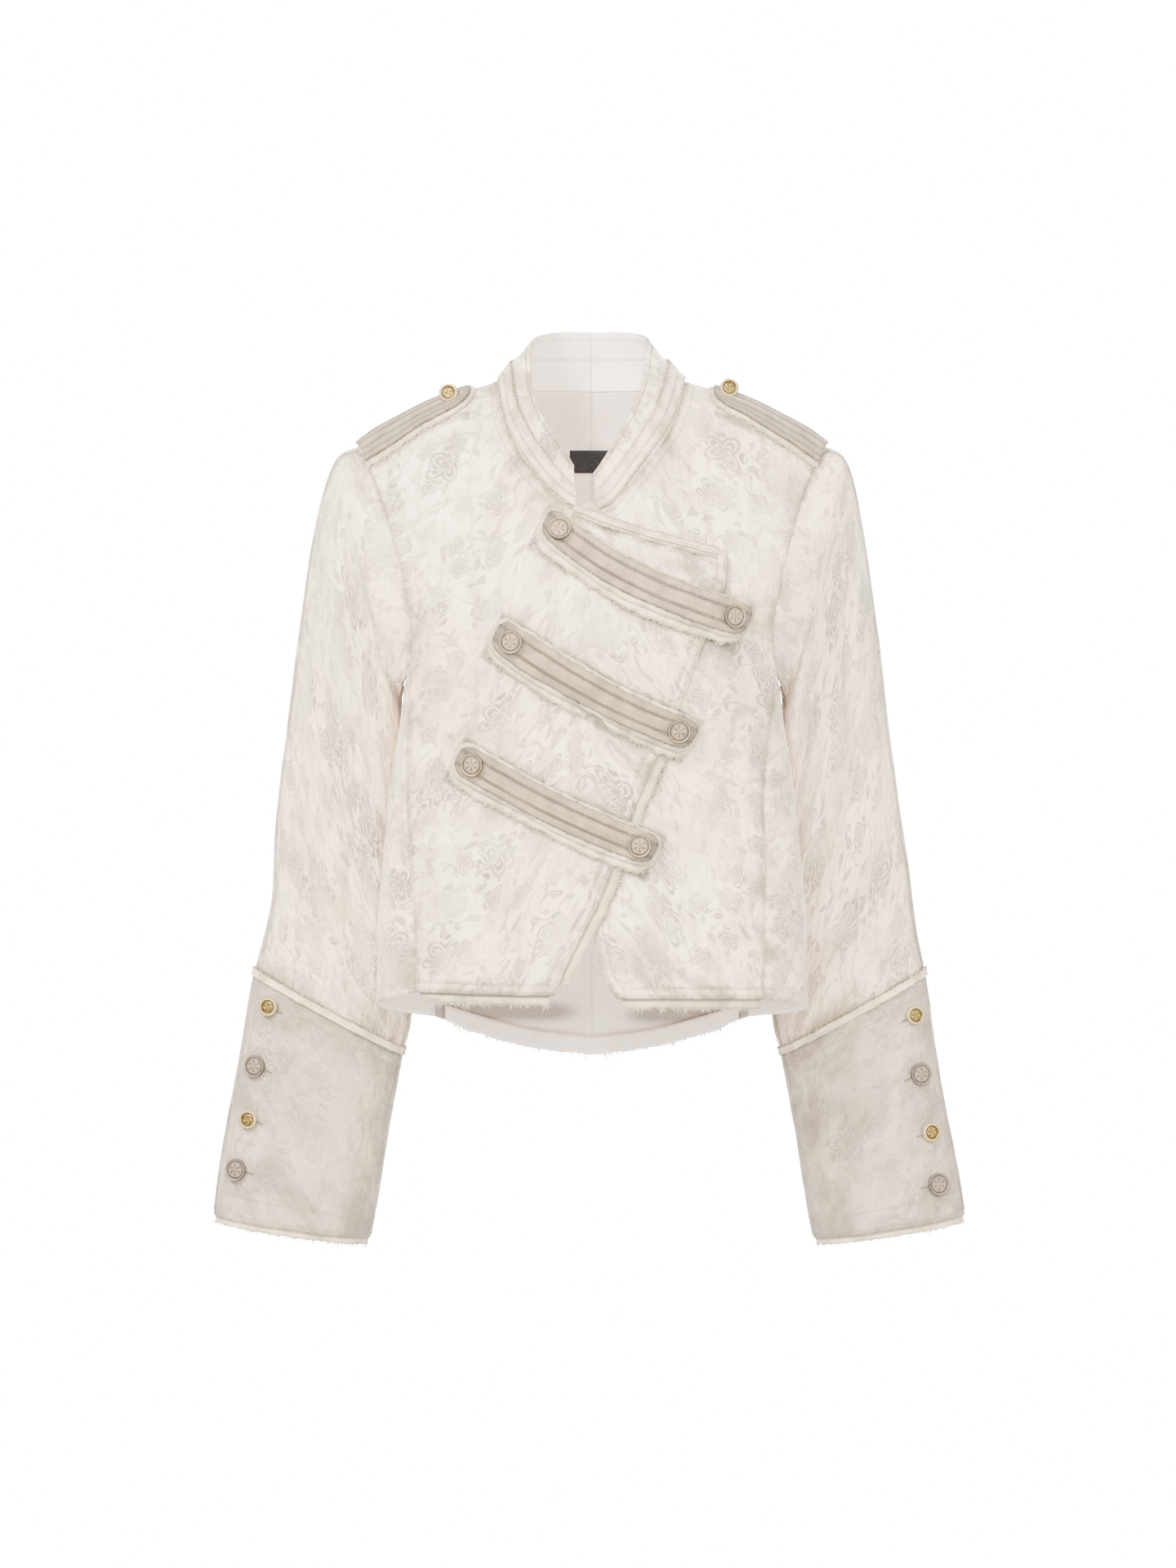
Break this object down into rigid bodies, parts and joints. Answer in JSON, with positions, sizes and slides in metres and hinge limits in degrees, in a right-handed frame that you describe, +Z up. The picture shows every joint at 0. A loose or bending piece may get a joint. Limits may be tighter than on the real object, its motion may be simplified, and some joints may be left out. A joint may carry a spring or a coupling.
{
  "type": "jacket",
  "caption": "Cropped jacket with stand collar, overlapping front, diagonal braided straps, epaulettes and flared buttoned cuffs, in its worn shape.",
  "frame": {"origin": "middle of the neck base, where the jacket hangs from the wearer's shoulders", "axes": "+Z up, the front faces -Y, +X to the wearer's left"},
  "size_m": [0.6345, 0.24, 0.7689],
  "materials": {
    "cloth": "satin jacquard",
    "lining": "smooth lining",
    "ply": "raw-edged woven cloth",
    "braid": "woven braid",
    "large_button": "matt champagne",
    "small_button": "antique gold",
    "label": "matt woven tape"
  },
  "bodies": {
    "root": {"back_hem_facing": "lining", "back_left": "cloth", "back_right": "cloth", "button_cuff_left_1_small": "small_button", "button_cuff_left_2_large": "large_button", "button_cuff_left_3_small": "small_button", "button_cuff_left_4_large": "large_button", "button_cuff_right_1_small": "small_button", "button_cuff_right_2_large": "large_button", "button_cuff_right_3_small": "small_button", "button_cuff_right_4_large": "large_button", "button_epaulette_left": "small_button", "button_epaulette_right": "small_button", "button_strap_lower_1": "large_button", "button_strap_lower_2": "large_button", "button_strap_middle_1": "large_button", "button_strap_middle_2": "large_button", "button_strap_upper_1": "large_button", "button_strap_upper_2": "large_button", "collar_binding_left": "ply", "collar_binding_right": "ply", "collar_left": "cloth", "collar_right": "cloth", "cuff_back_left": "cloth", "cuff_back_right": "cloth", "cuff_band_left": "ply", "cuff_band_right": "ply", "cuff_front_left": "cloth", "cuff_front_right": "cloth", "cuff_ply_left": "ply", "cuff_ply_right": "ply", "epaulette_base_left": "ply", "epaulette_base_right": "ply", "epaulette_braid_left": "braid", "epaulette_braid_right": "braid", "front_edge_ply": "ply", "front_left": "cloth", "front_right": "cloth", "hem_ply_left": "ply", "hem_ply_right": "ply", "neck_label": "label", "side_left": "cloth", "side_right": "cloth", "sleeve_back_left": "cloth", "sleeve_back_right": "cloth", "sleeve_front_left": "cloth", "sleeve_front_right": "cloth", "strap_base_lower": "ply", "strap_base_middle": "ply", "strap_base_upper": "ply", "strap_braid_lower": "braid", "strap_braid_middle": "braid", "strap_braid_upper": "braid", "strap_ply_lower": "ply", "strap_ply_middle": "ply", "strap_ply_upper": "ply"}
  },
  "joints": []
}
